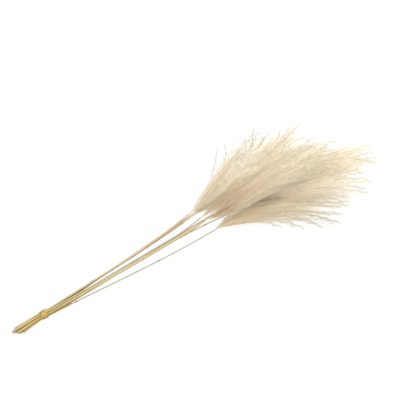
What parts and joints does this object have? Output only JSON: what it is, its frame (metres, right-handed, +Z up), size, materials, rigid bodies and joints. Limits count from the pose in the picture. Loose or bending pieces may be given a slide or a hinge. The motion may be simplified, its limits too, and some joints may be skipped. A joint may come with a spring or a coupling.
{
  "type": "bundle of dried miscanthus",
  "caption": "Tied bundle of dried miscanthus lying on its side: straw culms with cut ends, a raffia tie and feathery plumes that fan out.",
  "frame": {"origin": "bottom centre of the bundle's box, on the surface that it lies on", "axes": "+X along the bundle from the cut ends towards the plumes, +Z up from the surface, +Y to the left of +X"},
  "size_m": [0.688, 0.2144, 0.0673],
  "materials": {
    "straw": "dry, smooth, slightly glossy straw",
    "silk": "silky hairs, matt with a soft sheen",
    "raffia": "dry, fibrous, slightly glossy raffia"
  },
  "bodies": {
    "root": {"culm_1": "straw", "culm_2": "straw", "culm_3": "straw", "culm_4": "straw", "culm_5": "straw", "culm_6": "straw", "culm_7": "straw", "culm_8": "straw", "plume_1": "silk", "plume_2": "silk", "plume_3": "silk", "plume_4": "silk", "plume_5": "silk", "plume_6": "silk", "plume_7": "silk", "plume_8": "silk", "tie": "raffia"}
  },
  "joints": []
}
